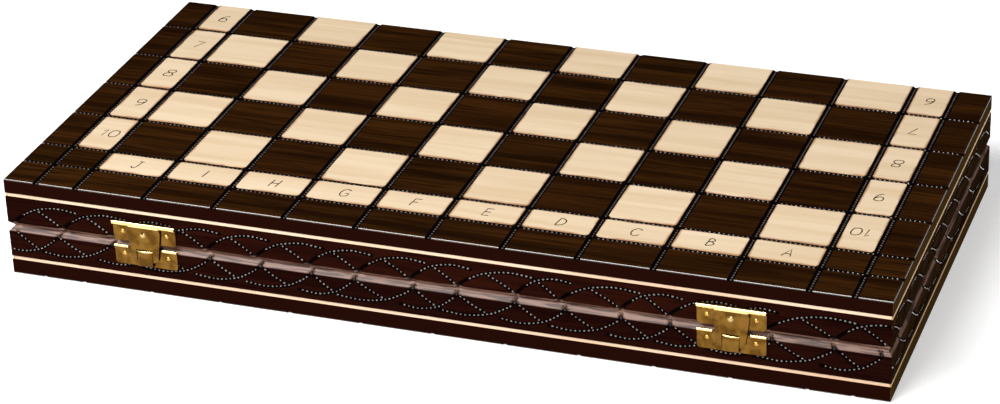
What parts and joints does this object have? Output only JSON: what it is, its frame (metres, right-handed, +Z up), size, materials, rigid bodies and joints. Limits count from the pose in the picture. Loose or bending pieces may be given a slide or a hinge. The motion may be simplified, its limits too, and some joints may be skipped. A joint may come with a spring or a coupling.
{
  "type": "folding board game box",
  "caption": "Folding wooden board game box closed as two hinged trays, with milled grid panels, light strips, two brass catches and turned men inside.",
  "frame": {"origin": "floor level, in the middle of the whole closed object in plan, catches and knuckles included", "axes": "+X along the front towards the A column, +Y from the catches to the hinges, +Z up"},
  "size_m": [0.4848, 0.2469, 0.0574],
  "materials": {
    "board_wood": "satin lacquer",
    "stained_wood": "gloss lacquer",
    "light_wood": "satin lacquer",
    "light_men_wood": "satin",
    "dark_men_wood": "satin",
    "brass": "polished"
  },
  "bodies": {
    "base": {"lower_panel": "board_wood", "lower_front_wall": "stained_wood", "lower_back_wall": "stained_wood", "lower_left_wall": "stained_wood", "lower_right_wall": "stained_wood", "lower_light_strips": "light_wood", "left_catch_lower_plate": "brass", "right_catch_lower_plate": "brass", "lower_catch_nails": "brass", "left_hinge_lower_leaf": "brass", "right_hinge_lower_leaf": "brass", "left_hinge_pin": "brass", "right_hinge_pin": "brass", "lower_hinge_screws": "brass", "light_men": "light_men_wood", "dark_men": "dark_men_wood"},
    "lid": {"upper_panel": "board_wood", "upper_front_wall": "stained_wood", "upper_back_wall": "stained_wood", "upper_left_wall": "stained_wood", "upper_right_wall": "stained_wood", "upper_light_strips": "light_wood", "left_catch_upper_plate": "brass", "right_catch_upper_plate": "brass", "upper_catch_nails": "brass", "left_hasp_pin": "brass", "right_hasp_pin": "brass", "left_hinge_upper_leaf": "brass", "right_hinge_upper_leaf": "brass", "upper_hinge_screws": "brass"},
    "left_hasp": {"left_hasp": "brass"},
    "right_hasp": {"right_hasp": "brass"}
  },
  "joints": [
    {"name": "lid_hinge", "type": "hinge", "parent": "base", "child": "lid", "pos_m": [0, 0.12145, 0.0287], "axis": [-1, 0, 0], "range_deg": [0, 180]},
    {"name": "left_hasp_hinge", "type": "hinge", "parent": "lid", "child": "left_hasp", "pos_m": [-0.1609, -0.1212, 0.0415], "axis": [-1, 0, 0], "range_deg": [0, 150]},
    {"name": "right_hasp_hinge", "type": "hinge", "parent": "lid", "child": "right_hasp", "pos_m": [0.1609, -0.1212, 0.0415], "axis": [-1, 0, 0], "range_deg": [0, 150]}
  ]
}
